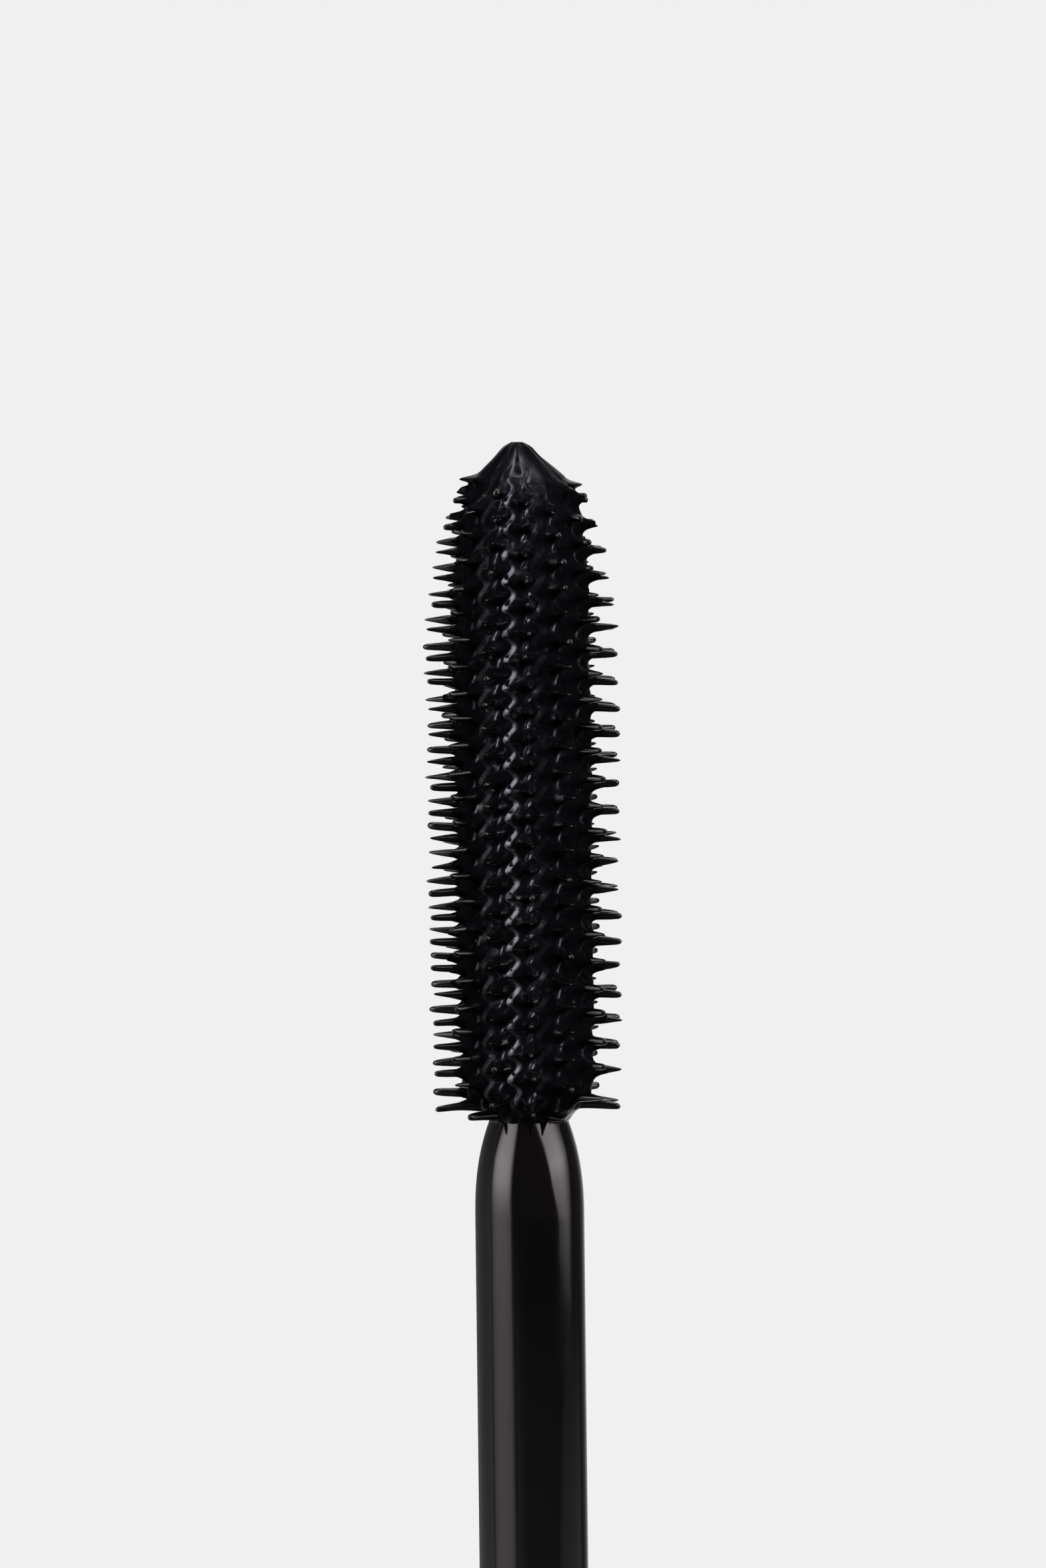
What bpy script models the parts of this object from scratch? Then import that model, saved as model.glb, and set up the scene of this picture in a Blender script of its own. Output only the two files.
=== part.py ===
"""A mascara: the wand (cap, stem and moulded brush) and the tube that it closes.

The wand stands on the flat end of its cap, at the origin, with the brush up. The tube
has been unscrewed and drawn off straight up the same axis, and hangs mouth down above
the brush. Lowered by DRAW and screwed down by CLIMB, it meets the cap. Lengths here
are in millimetres and become metres as each mesh is made. +Z is up.
"""

import math

import bmesh
import bpy
from mathutils import Vector

MM = 0.001

# How the tube leaves the wand
LEAD = 2.4
TURNS = 1.25
CLIMB = LEAD * TURNS
DRAW = 93.0
CLOSED_RIM = 32.0
REST_RIM = CLOSED_RIM + CLIMB + DRAW

# Facets around: the larger pieces, the stem, and the brush, one column for each bristle row
ROUND = 32
SLIM = 28
ROWS = 14

# Cap
CAP_R = 8.5
CAP_LENGTH = 45.0
CAP_BORE_R = 7.4
CAP_FLOOR = 2.6
CAP_EDGE = 0.8
EDGE_ROUND = 0.3
RECESS_R = 6.5
RECESS_DEPTH = 0.6
DISC_R = 6.4
DISC_LOW = 0.1
DISC_HIGH = 0.5
WEIGHT_R = 7.3
WEIGHT_LOW = 2.7
WEIGHT_HIGH = 14.7

# Threaded insert inside the cap
INSERT_R = 7.3
INSERT_SKIRT_R = 6.4
INSERT_LOW = 15.0
INSERT_HIGH = 44.2
WEB_LOW = 28.0
WEB_HIGH = 31.0
HUB_R = 4.6
HUB_LOW = 18.0
HUB_BORE_R = 2.65
SOCKET_R = 6.65
SEAL_BORE_R = 2.8
SEAL_R = 6.4
SEAL_LOW = 31.1
SEAL_HIGH = 31.9

# Thread: one right-hand ridge on the neck, and one in the cap half a lead away from it
RIDGE_FOOT = 1.0
RIDGE_CREST = 0.5
RIDGE_BURIED = 0.3
NECK_CREST_R = 6.45
NECK_RIDGE_START = 2.4
NECK_RIDGE_TURNS = 1.25
CAP_CREST_R = 5.95
CAP_RIDGE_START = 34.4
CAP_RIDGE_TURNS = 1.5

# Stem
STEM_ROOT_R = 2.6
STEM_ROOT_LOW = 18.5
STEM_ROOT_HIGH = 30.9
STEM_R = 2.15
STEM_SHOULDER = 77.3
STEM_TOP = 81.0
SHOULDER_CURVE = ((2.13, 78.0), (2.07, 78.7), (1.97, 79.35), (1.81, 80.0), (1.65, 80.7))
STEM_NECK_R = 1.57
STEM_BORE_R = 1.0
STEM_BORE_LOW = 72.5

# Brush
PIN_R = 0.95
PIN_LOW = 73.0
CORE_R = 1.35
CORE_LOW = 81.05
PITCH = 1.04
LEVELS = 24
THIRDS = 3
BACK_OFFSET = 9
FIELD_LOW = 81.34
TIP = 108.0
NOSE_CURVE = ((1.55, 106.75), (1.2, 107.2), (0.93, 107.5), (0.45, 107.95))
BRISTLE_TIP = 0.07
REACH = (
    (81.3, 3.5),
    (82.4, 3.72),
    (85.2, 3.9),
    (100.9, 3.93),
    (102.8, 3.65),
    (103.9, 3.4),
    (105.2, 3.0),
    (106.3, 2.5),
)
FIRST_ROW_DEG = 170.2

# Tube, as heights above its mouth
NECK_R = 5.75
NECK_BORE_R = 4.7
NECK_RIM = 0.9
NECK_LENGTH = 12.6
SEAT_R = 6.2
BEAD_R = 6.45
BEAD_AT = 14.0
BEAD_FOOT = 0.2
BEAD_CREST = 0.05
BODY_LOW = 15.25
VIAL_R = 7.5
VIAL_BORE_R = 6.5
VIAL_CONE = (14.5, 17.0)
VIAL_FLOOR = 78.5
VIAL_END = 79.7
SLEEVE_BORE_R = 7.6
SLEEVE_LOW = 15.3
TUBE_LENGTH = 81.5
BASE_EDGE = 0.4
PLUG_R = 7.55
PLUG_LOW = 79.9
PLUG_HIGH = 81.2
LABEL_R = 6.6
LABEL_LOW = 81.25
LABEL_HIGH = 81.4
COLLAR_BORE_R = 6.3
COLLAR_GROOVE_R = 6.65
COLLAR_GROOVE = (13.5, 14.5)
COLLAR_LOW = 13.15
COLLAR_HIGH = 15.2
COLLAR_EDGE = 0.25
FLANGE_R = 5.6
FLANGE_LOW = 0.05
FLANGE_HIGH = 0.85
WIPER_R = 4.6
WIPER_BORE_R = 3.8
WIPER_SLEEVE = 6.5
WIPER_END = 10.5
ORIFICE_R = 2.25
LIP = 0.5
FORMULA_R = 6.4
CHANNEL_R = 4.15
FORMULA_LOW = 22.0
FORMULA_HIGH = 74.5
FORMULA_FLOOR = 1.2

# Colour, roughness and metallic of each piece
LOOKS = {
    "cap_shell": ((0.012, 0.012, 0.014), 0.16, 0.0),
    "cap_end_disc": ((0.55, 0.55, 0.57), 0.3, 1.0),
    "cap_weight": ((0.42, 0.42, 0.44), 0.4, 1.0),
    "cap_insert": ((0.78, 0.78, 0.76), 0.45, 0.0),
    "seal_ring": ((0.85, 0.85, 0.82), 0.6, 0.0),
    "stem": ((0.01, 0.01, 0.012), 0.12, 0.0),
    "brush_head": ((0.015, 0.014, 0.016), 0.35, 0.0),
    "formula": ((0.008, 0.008, 0.011), 0.25, 0.0),
    "tube_collar": ((0.6, 0.6, 0.62), 0.25, 1.0),
    "vial": ((0.8, 0.8, 0.78), 0.4, 0.0),
    "wiper": ((0.88, 0.88, 0.85), 0.5, 0.0),
    "tube_sleeve": ((0.013, 0.013, 0.015), 0.14, 0.0),
    "base_plug": ((0.015, 0.015, 0.017), 0.3, 0.0),
    "base_label": ((0.82, 0.82, 0.8), 0.55, 0.0),
}
SHARP = math.radians(35)


def clear_scene():
    for thing in list(bpy.data.objects):
        bpy.data.objects.remove(thing, do_unlink=True)


def body_frame(name, height, parent=None):
    """An empty on the axis that carries one body, its height given from its parent's."""
    empty = bpy.data.objects.new(name, None)
    bpy.context.scene.collection.objects.link(empty)
    empty.parent = parent
    empty.location = (0, 0, height * MM)
    return empty


def turned(outline, segments, phase=0.0):
    """A bmesh of an outline of (radius, height) points turned about Z.

    An outline that starts and ends on the axis is a full solid. Any other is a ring,
    closed from its last point back to its first.
    """
    mesh = bmesh.new()
    rings = []
    for radius, height in outline:
        ring = []
        for step in range(segments if radius else 1):
            angle = phase + 2 * math.pi * step / segments
            point = Vector((radius * math.cos(angle), radius * math.sin(angle), height))
            ring.append(mesh.verts.new(point * MM))
        rings.append(ring)
    pairs = list(zip(rings, rings[1:]))
    if outline[0][0]:
        pairs.append((rings[-1], rings[0]))
    for first, second in pairs:
        for step in range(segments):
            after = step + 1
            corners = (
                first[step % len(first)],
                first[after % len(first)],
                second[after % len(second)],
                second[step % len(second)],
            )
            mesh.faces.new(tuple(dict.fromkeys(corners)))
    return mesh


def finish(name, mesh, parent, origin):
    """Turns a bmesh into a named object with its own material. origin is the height of its
    own origin in the frame that the mesh was drawn in."""
    bmesh.ops.recalc_face_normals(mesh, faces=mesh.faces)
    bmesh.ops.translate(mesh, verts=mesh.verts, vec=(0, 0, -origin * MM))
    data = bpy.data.meshes.new(name)
    mesh.to_mesh(data)
    mesh.free()
    data.shade_smooth()
    data.set_sharp_from_angle(angle=SHARP)
    thing = bpy.data.objects.new(name, data)
    bpy.context.scene.collection.objects.link(thing)
    thing.parent = parent
    thing.location = (0, 0, origin * MM)
    if name in LOOKS:
        data.materials.append(material(name))
    return thing


def material(name):
    colour, roughness, metallic = LOOKS[name]
    made = bpy.data.materials.new("mat_" + name)
    made.use_nodes = True
    principled = made.node_tree.nodes["Principled BSDF"]
    principled.inputs["Base Color"].default_value = (*colour, 1.0)
    principled.inputs["Roughness"].default_value = roughness
    principled.inputs["Metallic"].default_value = metallic
    return made


def add_ridge(piece, wall, crest, start, turns, phase):
    """Unites a piece with a right-hand helical ridge that fades into its wall at both ends."""
    mesh = bmesh.new()
    buried = wall + math.copysign(RIDGE_BURIED, wall - crest)
    hidden = wall + math.copysign(RIDGE_BURIED / 2, wall - crest)
    steps = round(turns * ROUND)
    sections = []
    for step in range(steps + 1):
        angle = phase + 2 * math.pi * step / ROUND
        height = start + LEAD * step / ROUND
        top = hidden if step in (0, steps) else crest
        corners = (
            (buried, -RIDGE_FOOT / 2),
            (top, -RIDGE_CREST / 2),
            (top, RIDGE_CREST / 2),
            (buried, RIDGE_FOOT / 2),
        )
        section = []
        for radius, rise in corners:
            point = Vector((radius * math.cos(angle), radius * math.sin(angle), height + rise))
            section.append(mesh.verts.new(point * MM))
        sections.append(section)
    for first, second in zip(sections, sections[1:]):
        for side in range(4):
            after = (side + 1) % 4
            mesh.faces.new((first[side], first[after], second[after], second[side]))
    mesh.faces.new(sections[0])
    mesh.faces.new(sections[-1])
    ridge = finish(piece.name + "_ridge", mesh, piece.parent, piece.location.z / MM)
    ridge.hide_render = True
    ridge.display_type = "WIRE"
    union = piece.modifiers.new("thread", "BOOLEAN")
    union.operation = "UNION"
    union.solver = "EXACT"
    union.object = ridge


def build_cap(wand):
    shell = (
        (0, CAP_FLOOR),
        (CAP_BORE_R, CAP_FLOOR),
        (CAP_BORE_R, CAP_LENGTH),
        (CAP_R, CAP_LENGTH),
        (CAP_R, CAP_EDGE),
        (CAP_R - CAP_EDGE * EDGE_ROUND, CAP_EDGE * EDGE_ROUND),
        (CAP_R - CAP_EDGE, 0),
        (RECESS_R, 0),
        (RECESS_R, RECESS_DEPTH),
        (0, RECESS_DEPTH),
    )
    finish("cap_shell", turned(shell, ROUND), wand, 0)
    disc = ((0, DISC_LOW), (DISC_R, DISC_LOW), (DISC_R, DISC_HIGH), (0, DISC_HIGH))
    finish("cap_end_disc", turned(disc, ROUND), wand, DISC_LOW)
    weight = ((0, WEIGHT_LOW), (WEIGHT_R, WEIGHT_LOW), (WEIGHT_R, WEIGHT_HIGH), (0, WEIGHT_HIGH))
    finish("cap_weight", turned(weight, ROUND), wand, WEIGHT_LOW)
    insert = (
        (INSERT_R, INSERT_LOW),
        (INSERT_R, INSERT_HIGH),
        (SOCKET_R, INSERT_HIGH),
        (SOCKET_R, WEB_HIGH),
        (HUB_BORE_R, WEB_HIGH),
        (HUB_BORE_R, HUB_LOW),
        (HUB_R, HUB_LOW),
        (HUB_R, WEB_LOW),
        (INSERT_SKIRT_R, WEB_LOW),
        (INSERT_SKIRT_R, INSERT_LOW),
    )
    piece = finish("cap_insert", turned(insert, ROUND), wand, INSERT_LOW)
    add_ridge(piece, SOCKET_R, CAP_CREST_R, CAP_RIDGE_START, CAP_RIDGE_TURNS, 0.0)
    seal = (
        (SEAL_BORE_R, SEAL_LOW),
        (SEAL_R, SEAL_LOW),
        (SEAL_R, SEAL_HIGH),
        (SEAL_BORE_R, SEAL_HIGH),
    )
    finish("seal_ring", turned(seal, ROUND), wand, SEAL_LOW)


def build_stem(wand):
    outline = (
        (0, STEM_ROOT_LOW),
        (STEM_ROOT_R, STEM_ROOT_LOW),
        (STEM_ROOT_R, STEM_ROOT_HIGH),
        (STEM_R, STEM_ROOT_HIGH),
        (STEM_R, STEM_SHOULDER),
        *SHOULDER_CURVE,
        (STEM_NECK_R, STEM_TOP),
        (STEM_BORE_R, STEM_TOP),
        (STEM_BORE_R, STEM_BORE_LOW),
        (0, STEM_BORE_LOW),
    )
    finish("stem", turned(outline, SLIM), wand, STEM_ROOT_LOW)


def reach_at(height):
    """How far from the axis the bristle tips stand at a height."""
    for (low, near), (high, far) in zip(REACH, REACH[1:]):
        if height <= high:
            return near + (far - near) * (height - low) / (high - low)
    return REACH[-1][1]


def third_of_pitch(row):
    """Which third of the pitch a row's bristles start in. The two halves of the mould
    mirror each other, so the stagger runs down over the first rows and up over the rest."""
    return row % THIRDS if row <= ROWS // 2 else (BACK_OFFSET - row) % THIRDS


def build_brush(wand):
    third = PITCH / THIRDS
    cells = LEVELS * THIRDS
    field = tuple((CORE_R, FIELD_LOW + third * step) for step in range(cells + 1))
    foot = ((0, PIN_LOW), (PIN_R, PIN_LOW), (PIN_R, CORE_LOW), (CORE_R, CORE_LOW))
    outline = foot + field + NOSE_CURVE + ((0, TIP),)
    turn = 2 * math.pi / ROWS
    first_row = math.radians(FIRST_ROW_DEG)
    mesh = turned(outline, ROWS, first_row - turn / 2)
    mesh.faces.ensure_lookup_table()
    chosen = []
    for cell in range(cells):
        for row in range(ROWS):
            if (cell + third_of_pitch(row)) % THIRDS == THIRDS - 1:
                chosen.append(mesh.faces[(len(foot) + cell) * ROWS + row])
    for face in bmesh.ops.extrude_discrete_faces(mesh, faces=chosen)["faces"]:
        centre = face.calc_center_median()
        out = Vector((centre.x, centre.y, 0)).normalized()
        side = Vector((-out.y, out.x, 0))
        tip = out * reach_at(centre.z / MM) * MM
        tip.z = centre.z
        for corner in face.verts:
            away = corner.co - centre
            across = math.copysign(BRISTLE_TIP, away.dot(side)) * MM
            along = math.copysign(BRISTLE_TIP, away.z) * MM
            corner.co = tip + side * across + Vector((0, 0, along))
    finish("brush_head", mesh, wand, CORE_LOW)


def build_formula(product):
    outline = (
        (0, FORMULA_HIGH),
        (FORMULA_R, FORMULA_HIGH),
        (FORMULA_R, FORMULA_LOW),
        (CHANNEL_R, FORMULA_LOW),
        (CHANNEL_R, FORMULA_HIGH - FORMULA_FLOOR),
        (0, FORMULA_HIGH - FORMULA_FLOOR),
    )
    finish("formula", turned(outline, ROUND), product, FORMULA_LOW)


def build_collar(collar):
    outline = (
        (COLLAR_BORE_R, COLLAR_LOW),
        (CAP_R - COLLAR_EDGE, COLLAR_LOW),
        (CAP_R, COLLAR_LOW + COLLAR_EDGE),
        (CAP_R, COLLAR_HIGH - COLLAR_EDGE),
        (CAP_R - COLLAR_EDGE, COLLAR_HIGH),
        (COLLAR_BORE_R, COLLAR_HIGH),
        (COLLAR_BORE_R, COLLAR_GROOVE[1]),
        (COLLAR_GROOVE_R, COLLAR_GROOVE[1]),
        (COLLAR_GROOVE_R, COLLAR_GROOVE[0]),
        (COLLAR_BORE_R, COLLAR_GROOVE[0]),
    )
    finish("tube_collar", turned(outline, ROUND), collar, COLLAR_LOW)


def build_tube(tube):
    vial = (
        (0, VIAL_END),
        (VIAL_R, VIAL_END),
        (VIAL_R, BODY_LOW),
        (SEAT_R, BODY_LOW),
        (SEAT_R, BEAD_AT + BEAD_FOOT),
        (BEAD_R, BEAD_AT + BEAD_CREST),
        (BEAD_R, BEAD_AT - BEAD_CREST),
        (SEAT_R, BEAD_AT - BEAD_FOOT),
        (SEAT_R, NECK_LENGTH),
        (NECK_R, NECK_LENGTH),
        (NECK_R, NECK_RIM),
        (NECK_BORE_R, NECK_RIM),
        (NECK_BORE_R, VIAL_CONE[0]),
        (VIAL_BORE_R, VIAL_CONE[1]),
        (VIAL_BORE_R, VIAL_FLOOR),
        (0, VIAL_FLOOR),
    )
    piece = finish("vial", turned(vial, ROUND), tube, NECK_RIM)
    # With the tube screwed down, the neck's ridge runs half a lead above the cap's
    closed_start = CLOSED_RIM + NECK_RIDGE_START
    behind = (closed_start - CAP_RIDGE_START - LEAD / 2) / LEAD
    phase = 2 * math.pi * (behind + TURNS)
    add_ridge(piece, NECK_R, NECK_CREST_R, NECK_RIDGE_START, NECK_RIDGE_TURNS, phase)
    wiper = (
        (FLANGE_R, FLANGE_LOW),
        (FLANGE_R, FLANGE_HIGH),
        (WIPER_R, FLANGE_HIGH),
        (WIPER_R, WIPER_SLEEVE),
        (ORIFICE_R + LIP, WIPER_END),
        (ORIFICE_R, WIPER_END),
        (WIPER_BORE_R, WIPER_SLEEVE),
        (WIPER_BORE_R, FLANGE_LOW),
    )
    finish("wiper", turned(wiper, ROUND), tube, FLANGE_LOW)
    sleeve = (
        (SLEEVE_BORE_R, SLEEVE_LOW),
        (CAP_R - COLLAR_EDGE, SLEEVE_LOW),
        (CAP_R, SLEEVE_LOW + COLLAR_EDGE),
        (CAP_R, TUBE_LENGTH - BASE_EDGE),
        (CAP_R - BASE_EDGE, TUBE_LENGTH),
        (SLEEVE_BORE_R, TUBE_LENGTH),
    )
    finish("tube_sleeve", turned(sleeve, ROUND), tube, SLEEVE_LOW)
    plug = ((0, PLUG_LOW), (PLUG_R, PLUG_LOW), (PLUG_R, PLUG_HIGH), (0, PLUG_HIGH))
    finish("base_plug", turned(plug, ROUND), tube, PLUG_LOW)
    label = ((0, LABEL_LOW), (LABEL_R, LABEL_LOW), (LABEL_R, LABEL_HIGH), (0, LABEL_HIGH))
    finish("base_label", turned(label, ROUND), tube, LABEL_LOW)


def main():
    clear_scene()
    wand = body_frame("wand_frame", 0)
    product = body_frame("product_frame", REST_RIM, wand)
    collar = body_frame("collar_frame", 0, product)
    tube = body_frame("tube_frame", 0, collar)
    build_cap(wand)
    build_stem(wand)
    build_brush(wand)
    build_formula(product)
    build_collar(collar)
    build_tube(tube)


main()
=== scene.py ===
"""Looks of the mascara: the wet brush and glossy stem of the wand, its cap, and the tube.

Every piece is drawn in millimetres in the row frame and made into a mesh in metres. Heights
are above the ground, with the wand standing on its cap and the tube held above it. Lights,
floor and camera are placed in metres.
"""

import math
import random

import bpy
import numpy as np
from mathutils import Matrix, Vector


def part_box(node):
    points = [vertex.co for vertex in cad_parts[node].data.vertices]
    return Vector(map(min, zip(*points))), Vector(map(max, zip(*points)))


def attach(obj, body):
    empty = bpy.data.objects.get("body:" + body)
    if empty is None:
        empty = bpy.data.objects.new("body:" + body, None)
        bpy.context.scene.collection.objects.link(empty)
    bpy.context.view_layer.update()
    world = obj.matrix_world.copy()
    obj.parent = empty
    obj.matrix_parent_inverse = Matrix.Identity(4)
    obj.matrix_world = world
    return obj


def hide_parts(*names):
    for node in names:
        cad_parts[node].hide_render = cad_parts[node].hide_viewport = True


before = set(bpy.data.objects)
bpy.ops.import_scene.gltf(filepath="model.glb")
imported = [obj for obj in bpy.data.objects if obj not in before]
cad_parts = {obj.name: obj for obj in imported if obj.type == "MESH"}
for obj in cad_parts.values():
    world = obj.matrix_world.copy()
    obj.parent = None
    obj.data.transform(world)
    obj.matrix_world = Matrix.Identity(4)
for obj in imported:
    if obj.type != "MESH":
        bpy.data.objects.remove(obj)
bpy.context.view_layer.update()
MM = 0.001
TAU = 2 * math.pi


# ---------------------------------------------------------------- mesh helpers

# The largest share of a side that the curve at a corner may take
CURVE_SHARE = 0.36
# Where the point that holds the flat lies, in sizes of the curve
HELD = 1.35


def ring_quads(rows, columns, first=0, loop=False):
    """The quads between rings of points, each ring closed on itself."""
    index = first + np.arange(rows * columns).reshape(rows, columns)
    low = index if loop else index[:-1]
    high = np.roll(index, -1, axis=0) if loop else index[1:]
    return np.stack([low, np.roll(low, -1, 1), np.roll(high, -1, 1), high], -1).reshape(-1, 4)


def fan(first, count, centre):
    """The triangles from a ring of points to a centre."""
    ring = first + np.arange(count)
    return np.stack([ring, np.roll(ring, -1), np.full(count, centre)], -1)


def placed(name, data):
    """A new object in the scene."""
    made = bpy.data.objects.new(name, data)
    bpy.context.scene.collection.objects.link(made)
    return made


def point_values(data, name, values):
    """Stores a number for every point of a mesh."""
    data.attributes.new(name, "FLOAT", "POINT").data.foreach_set("value", values)


def solid_mesh(name, points, quads, triangles=()):
    """A smooth object from points in mm, turned so that its faces point out."""
    quads = np.asarray(quads, int).reshape(-1, 4)
    triangles = np.asarray(triangles, int).reshape(-1, 3)
    parts = np.concatenate([quads[:, :3], quads[:, [0, 2, 3]], triangles])
    a, b, c = (points[parts[:, k]] for k in range(3))
    if (a * np.cross(b, c)).sum() < 0:
        quads, triangles = quads[:, ::-1], triangles[:, ::-1]
    data = bpy.data.meshes.new(name)
    data.from_pydata((points * MM).tolist(), [], quads.tolist() + triangles.tolist())
    data.shade_smooth()
    return placed(name, data)


def wrapped(name, points, low=None, high=None):
    """A solid from rings of points. low and high are its end points, and without them the
    last ring joins the first."""
    rows, columns = points.shape[:2]
    quads = ring_quads(rows, columns, loop=low is None)
    points = points.reshape(-1, 3)
    if low is None:
        return solid_mesh(name, points, quads)
    last = rows * columns
    ends = (fan(0, columns, last)[:, ::-1], fan(last - columns, columns, last + 1))
    return solid_mesh(name, np.concatenate([points, [low, high]]), quads, np.concatenate(ends))


def crease(piece, count, columns):
    """Keeps the end caps of a solid of rings from bending the shading of its sides. count is
    the number of points in all the rings, columns the number in one."""
    data = piece.data
    ends = np.empty(2 * len(data.edges), int)
    data.edges.foreach_get("vertices", ends)
    ends = ends.reshape(-1, 2)
    rim = (ends < columns).all(axis=1) | ((ends >= count - columns) & (ends < count)).all(axis=1)
    data.attributes.new("sharp_edge", "BOOLEAN", "EDGE").data.foreach_set("value", rim)


def eased(outline, size=0.1, steps=4, loop=False):
    """An outline with its corners rounded. A point may give its own size as a third number.
    A point held just outside each curve keeps the flats beside it flat."""
    out = []
    count = len(outline)
    for i, point in enumerate(outline):
        here = np.array(point[:2], float)
        if not loop and i in (0, count - 1):
            out.append(here)
            continue
        back = np.array(outline[i - 1][:2], float) - here
        on = np.array(outline[(i + 1) % count][:2], float) - here
        wanted = point[2] if len(point) > 2 else size
        cut = min(wanted, CURVE_SHARE * np.linalg.norm(back), CURVE_SHARE * np.linalg.norm(on))
        back *= cut / np.linalg.norm(back)
        on *= cut / np.linalg.norm(on)
        out.append(here + back * HELD)
        for t in np.linspace(0, 1, steps + 1):
            out.append(here + back * (1 - t) ** 2 + on * t**2)
        out.append(here + on * HELD)
    return np.array(out)


def turned(name, outline, segments=128, swell=None):
    """A piece turned about Z from an outline of (radius, height). An outline that starts and
    ends on the axis is a full solid, any other is a ring. swell(angle, height, radius) adds to
    the radius, as a thread does."""
    full = outline[0][0] == 0
    rows = outline[1:-1] if full else outline
    angle = np.linspace(0, TAU, segments, endpoint=False)[None, :]
    radius = np.repeat(rows[:, :1], segments, 1)
    height = np.repeat(rows[:, 1:], segments, 1)
    if swell:
        radius = radius + swell(angle, height, radius)
    points = np.stack([radius * np.cos(angle), radius * np.sin(angle), height], -1)
    if full:
        return wrapped(name, points, (0, 0, outline[0][1]), (0, 0, outline[-1][1]))
    return wrapped(name, points)


def dense(start, end, step):
    """The points between start and end along a straight line, about step apart."""
    a, b = np.array(start, float), np.array(end, float)
    count = max(2, round(np.linalg.norm(b - a) / step))
    return [tuple(a + (b - a) * k / count) for k in range(1, count)]


# ---------------------------------------------------------------- materials

WHITE = (1.0, 1.0, 1.0)
BLACK_GLOSS = (0.004, 0.004, 0.005)
SMEAR = (0.01, 0.01, 0.012)
SMEAR_EDGE = 0.15
# The colour sockets of a mix node, which share their names with its other sockets
MIX_A, MIX_B, MIX_RESULT = 6, 7, 2


class Look:
    """A node material, built up a few nodes at a time on its Principled BSDF."""

    def __init__(self, name, colour, roughness, metallic=0.0):
        self.material = bpy.data.materials.new(name)
        self.material.use_nodes = True
        self.tree = self.material.node_tree
        self.shader = self.tree.nodes["Principled BSDF"]
        self.set("Base Color", (*colour, 1.0))
        self.set("Roughness", roughness)
        self.set("Metallic", metallic)
        self.place = self.node("ShaderNodeTexCoord").outputs["Object"]
        self.normal = None

    def node(self, kind, **values):
        made = self.tree.nodes.new(kind)
        for key, value in values.items():
            setattr(made, key, value)
        return made

    def link(self, a, b):
        self.tree.links.new(a, b)

    def set(self, socket, value):
        self.shader.inputs[socket].default_value = value

    def spread(self, scale):
        """Object coordinates stretched by scale, in cycles per millimetre."""
        made = self.node("ShaderNodeMapping")
        made.inputs["Scale"].default_value = [s / MM for s in scale]
        self.link(self.place, made.inputs["Vector"])
        return made.outputs["Vector"]

    def noise(self, scale, detail=3.0, rough=0.5, distortion=0.0):
        made = self.node("ShaderNodeTexNoise")
        made.inputs["Scale"].default_value = 1.0
        made.inputs["Detail"].default_value = detail
        made.inputs["Roughness"].default_value = rough
        made.inputs["Distortion"].default_value = distortion
        self.link(self.spread(scale), made.inputs["Vector"])
        return made.outputs["Fac"]

    def cells(self, scale):
        """The distance to the middle of the nearest of many small cells."""
        made = self.node("ShaderNodeTexVoronoi", feature="F1")
        made.inputs["Scale"].default_value = 1.0
        self.link(self.spread(scale), made.inputs["Vector"])
        return made.outputs["Distance"]

    def ramp(self, value, low, high, a, b):
        """value between low and high becomes a to b."""
        made = self.node("ShaderNodeMapRange", interpolation_type="SMOOTHSTEP")
        for socket, number in zip(("From Min", "From Max", "To Min", "To Max"), (low, high, a, b)):
            made.inputs[socket].default_value = number
        self.link(value, made.inputs["Value"])
        return made.outputs["Result"]

    def maths(self, operation, a, b):
        made = self.node("ShaderNodeMath", operation=operation)
        for socket, value in zip(made.inputs, (a, b)):
            if isinstance(value, (int, float)):
                socket.default_value = value
            else:
                self.link(value, socket)
        return made.outputs["Value"]

    def roughness(self, value, low, high, a, b):
        self.link(self.ramp(value, low, high, a, b), self.shader.inputs["Roughness"])

    def colours(self, factor, a, b):
        """Base colour mixed from a to b by factor."""
        made = self.node("ShaderNodeMix", data_type="RGBA")
        made.inputs[MIX_A].default_value = (*a, 1.0)
        made.inputs[MIX_B].default_value = (*b, 1.0)
        self.link(factor, made.inputs["Factor"])
        self.link(made.outputs[MIX_RESULT], self.shader.inputs["Base Color"])

    def bump(self, value, depth):
        """Adds a bump depth mm deep."""
        made = self.node("ShaderNodeBump")
        made.inputs["Strength"].default_value = 1.0
        made.inputs["Distance"].default_value = depth * MM
        self.link(value, made.inputs["Height"])
        if self.normal:
            self.link(self.normal, made.inputs["Normal"])
        self.normal = made.outputs["Normal"]
        self.link(self.normal, self.shader.inputs["Normal"])

    def axes(self):
        """The object coordinates one by one, in metres."""
        made = self.node("ShaderNodeSeparateXYZ")
        self.link(self.place, made.inputs["Vector"])
        return made.outputs

    def radial(self):
        """The distance from the axis, in mm."""
        axes = self.axes()
        squares = [self.maths("MULTIPLY", axes[name], axes[name]) for name in "XY"]
        return self.maths("DIVIDE", self.maths("SQRT", self.maths("ADD", *squares), 0.0), MM)

    def height(self):
        """The height above the ground at rest, in mm."""
        return self.maths("DIVIDE", self.axes()["Z"], MM)


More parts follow.
